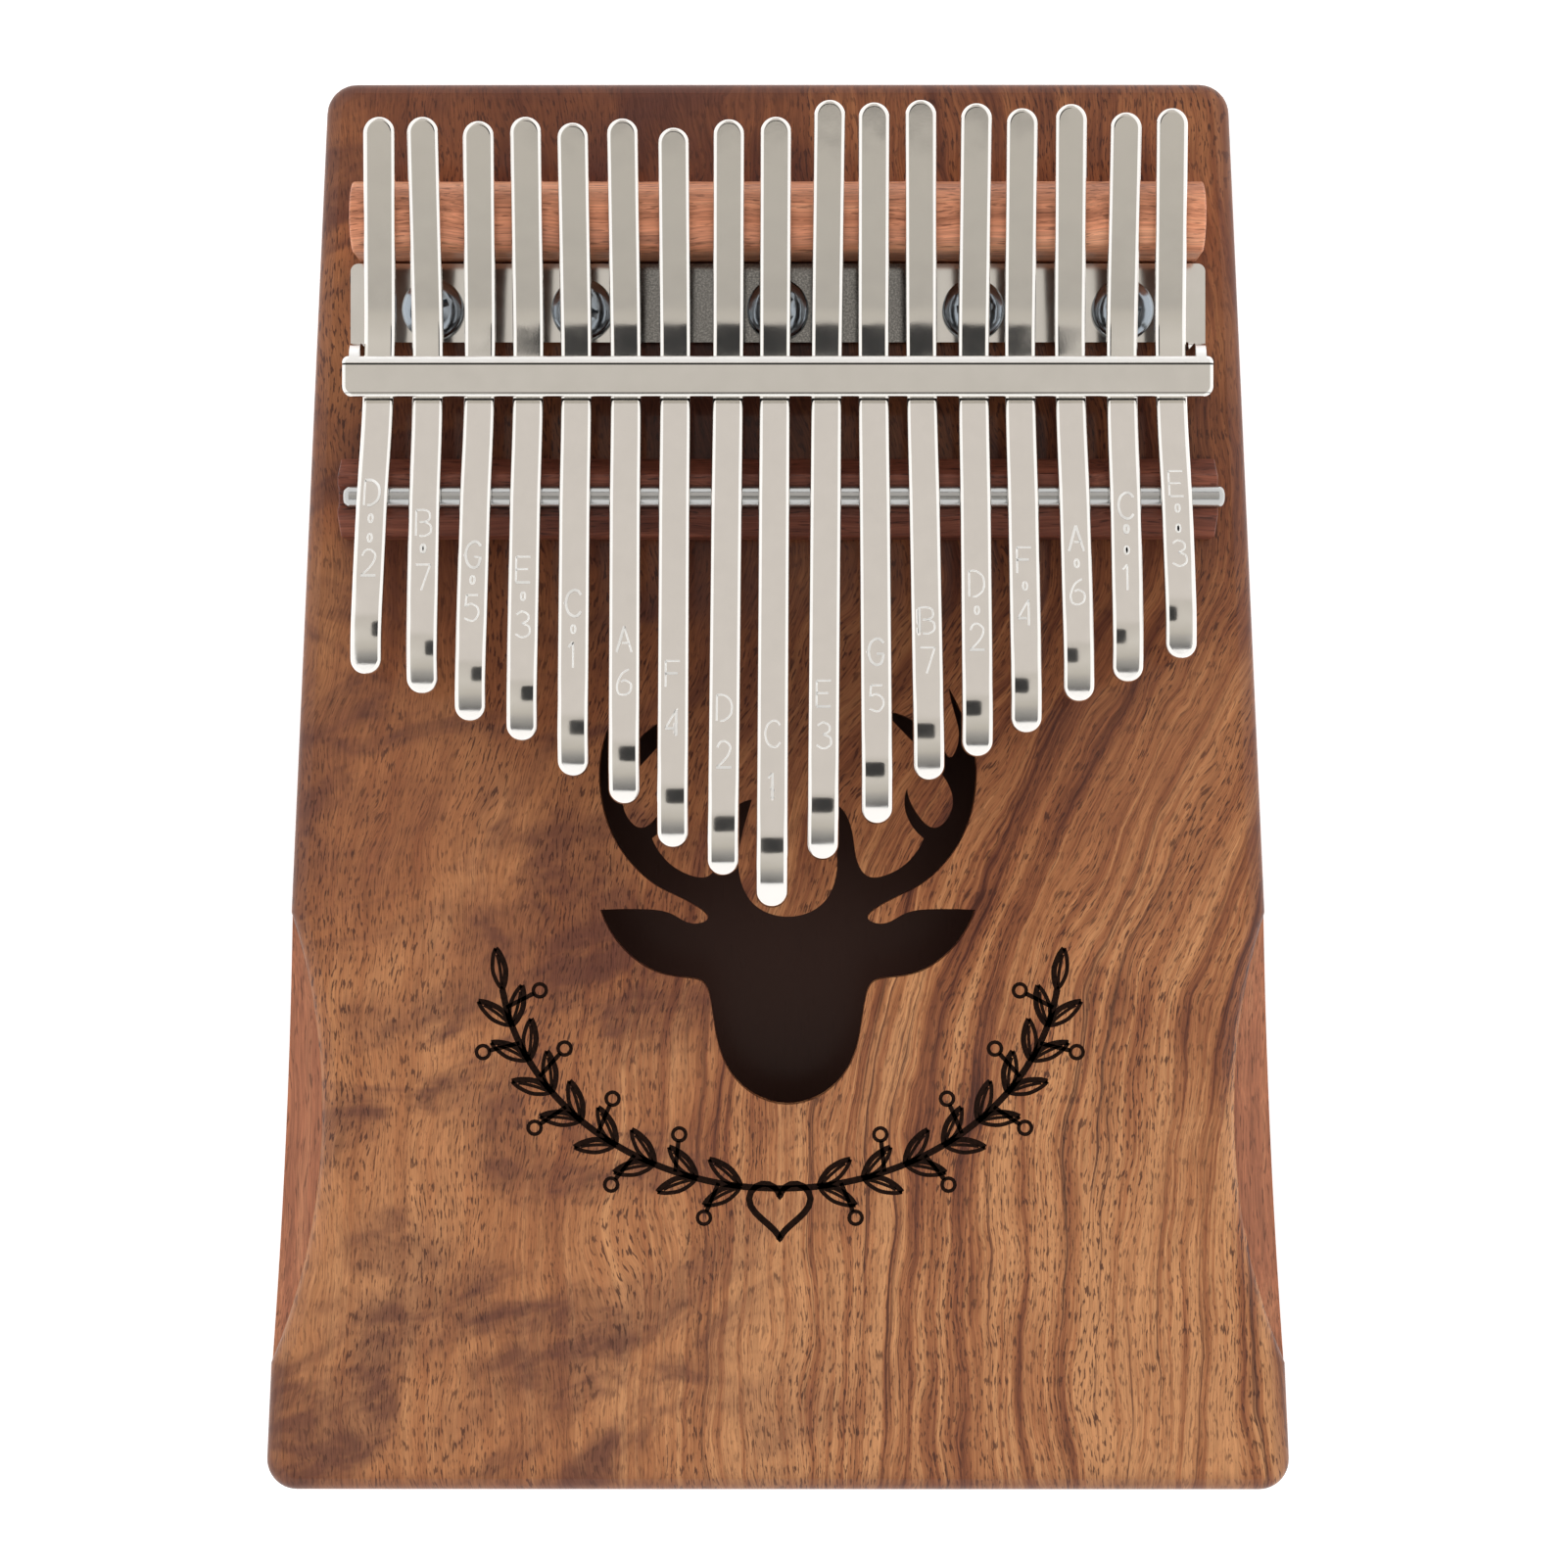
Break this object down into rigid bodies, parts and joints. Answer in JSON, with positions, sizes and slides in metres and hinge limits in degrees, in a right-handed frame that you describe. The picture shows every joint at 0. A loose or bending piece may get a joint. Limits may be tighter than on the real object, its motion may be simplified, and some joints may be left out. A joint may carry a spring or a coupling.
{
  "type": "mbira",
  "caption": "Thumb piano: hollow wooden box with a cut-out sound hole, grip scoops in its sides, and flat spring tines held by a bent metal bar over a bridge.",
  "frame": {"origin": "middle of the underside of the sound box, at rest on its back", "axes": "+Z out of the soundboard; +Y along the box, from the free tips of the tines to the bracket end; +X to the right when the bracket end is away from the viewer"},
  "size_m": [0.1336, 0.184, 0.0409],
  "materials": {
    "top_wood": "figured tan hardwood with open pores, satin oil",
    "back_wood": "straight brown hardwood, satin oil",
    "side_wood": "reddish brown hardwood, satin oil",
    "block_wood": "plain sawn hardwood",
    "saddle_wood": "light orange hardwood, cross ripple, satin",
    "bridge_wood": "dark reddish hardwood, satin",
    "bracket_metal": "satin nickel plate",
    "screw_metal": "dark zinc plate",
    "rod_steel": "polished bare steel",
    "tine_steel": "polished plated spring steel with struck note marks"
  },
  "bodies": {
    "sound_box": {"soundboard": "top_wood", "back_board": "back_wood", "left_side_wall": "side_wood", "right_side_wall": "side_wood", "rear_end_wall": "side_wood", "front_end_wall": "side_wood", "screw_block": "block_wood", "rear_saddle": "saddle_wood", "tine_bracket": "bracket_metal", "bracket_screws": "screw_metal", "front_bridge": "bridge_wood", "bridge_rod": "rod_steel"},
    "tine_01_d6": {"tine_01_d6": "tine_steel"},
    "tine_02_b5": {"tine_02_b5": "tine_steel"},
    "tine_03_g5": {"tine_03_g5": "tine_steel"},
    "tine_04_e5": {"tine_04_e5": "tine_steel"},
    "tine_05_c5": {"tine_05_c5": "tine_steel"},
    "tine_06_a4": {"tine_06_a4": "tine_steel"},
    "tine_07_f4": {"tine_07_f4": "tine_steel"},
    "tine_08_d4": {"tine_08_d4": "tine_steel"},
    "tine_09_c4": {"tine_09_c4": "tine_steel"},
    "tine_10_e4": {"tine_10_e4": "tine_steel"},
    "tine_11_g4": {"tine_11_g4": "tine_steel"},
    "tine_12_b4": {"tine_12_b4": "tine_steel"},
    "tine_13_d5": {"tine_13_d5": "tine_steel"},
    "tine_14_f5": {"tine_14_f5": "tine_steel"},
    "tine_15_a5": {"tine_15_a5": "tine_steel"},
    "tine_16_c6": {"tine_16_c6": "tine_steel"},
    "tine_17_e6": {"tine_17_e6": "tine_steel"}
  },
  "joints": [
    {"name": "pluck_01_d6", "type": "hinge", "parent": "sound_box", "child": "tine_01_d6", "pos_m": [-0.05163, 0.0369, 0.033], "axis": [1, 0, 0], "range_deg": [0, 1.4], "stiffness_Nm_per_rad": 8.7},
    {"name": "pluck_02_b5", "type": "hinge", "parent": "sound_box", "child": "tine_02_b5", "pos_m": [-0.04498, 0.0369, 0.033], "axis": [1, 0, 0], "range_deg": [0, 1.4], "stiffness_Nm_per_rad": 7.9},
    {"name": "pluck_03_g5", "type": "hinge", "parent": "sound_box", "child": "tine_03_g5", "pos_m": [-0.0385, 0.0369, 0.033], "axis": [1, 0, 0], "range_deg": [0, 1.4], "stiffness_Nm_per_rad": 6.9},
    {"name": "pluck_04_e5", "type": "hinge", "parent": "sound_box", "child": "tine_04_e5", "pos_m": [-0.03214, 0.0369, 0.033], "axis": [1, 0, 0], "range_deg": [0, 1.4], "stiffness_Nm_per_rad": 6.4},
    {"name": "pluck_05_c5", "type": "hinge", "parent": "sound_box", "child": "tine_05_c5", "pos_m": [-0.02585, 0.0369, 0.033], "axis": [1, 0, 0], "range_deg": [0, 1.4], "stiffness_Nm_per_rad": 5.6},
    {"name": "pluck_06_a4", "type": "hinge", "parent": "sound_box", "child": "tine_06_a4", "pos_m": [-0.01945, 0.0369, 0.033], "axis": [1, 0, 0], "range_deg": [0, 1.4], "stiffness_Nm_per_rad": 5.1},
    {"name": "pluck_07_f4", "type": "hinge", "parent": "sound_box", "child": "tine_07_f4", "pos_m": [-0.01317, 0.0369, 0.033], "axis": [1, 0, 0], "range_deg": [0, 1.4], "stiffness_Nm_per_rad": 4.5},
    {"name": "pluck_08_d4", "type": "hinge", "parent": "sound_box", "child": "tine_08_d4", "pos_m": [-0.00649, 0.0369, 0.033], "axis": [1, 0, 0], "range_deg": [0, 1.4], "stiffness_Nm_per_rad": 4.1},
    {"name": "pluck_09_c4", "type": "hinge", "parent": "sound_box", "child": "tine_09_c4", "pos_m": [-0.00044, 0.0369, 0.033], "axis": [1, 0, 0], "range_deg": [0, 1.4], "stiffness_Nm_per_rad": 3.8},
    {"name": "pluck_10_e4", "type": "hinge", "parent": "sound_box", "child": "tine_10_e4", "pos_m": [0.00613, 0.0369, 0.033], "axis": [1, 0, 0], "range_deg": [0, 1.4], "stiffness_Nm_per_rad": 4.3},
    {"name": "pluck_11_g4", "type": "hinge", "parent": "sound_box", "child": "tine_11_g4", "pos_m": [0.01238, 0.0369, 0.033], "axis": [1, 0, 0], "range_deg": [0, 1.4], "stiffness_Nm_per_rad": 4.8},
    {"name": "pluck_12_b4", "type": "hinge", "parent": "sound_box", "child": "tine_12_b4", "pos_m": [0.01869, 0.0369, 0.033], "axis": [1, 0, 0], "range_deg": [0, 1.4], "stiffness_Nm_per_rad": 5.5},
    {"name": "pluck_13_d5", "type": "hinge", "parent": "sound_box", "child": "tine_13_d5", "pos_m": [0.0252, 0.0369, 0.033], "axis": [1, 0, 0], "range_deg": [0, 1.4], "stiffness_Nm_per_rad": 6},
    {"name": "pluck_14_f5", "type": "hinge", "parent": "sound_box", "child": "tine_14_f5", "pos_m": [0.03126, 0.0369, 0.033], "axis": [1, 0, 0], "range_deg": [0, 1.4], "stiffness_Nm_per_rad": 6.6},
    {"name": "pluck_15_a5", "type": "hinge", "parent": "sound_box", "child": "tine_15_a5", "pos_m": [0.0378, 0.0369, 0.033], "axis": [1, 0, 0], "range_deg": [0, 1.4], "stiffness_Nm_per_rad": 7.6},
    {"name": "pluck_16_c6", "type": "hinge", "parent": "sound_box", "child": "tine_16_c6", "pos_m": [0.04428, 0.0369, 0.033], "axis": [1, 0, 0], "range_deg": [0, 1.4], "stiffness_Nm_per_rad": 8.4},
    {"name": "pluck_17_e6", "type": "hinge", "parent": "sound_box", "child": "tine_17_e6", "pos_m": [0.05081, 0.0369, 0.033], "axis": [1, 0, 0], "range_deg": [0, 1.4], "stiffness_Nm_per_rad": 9.6}
  ]
}
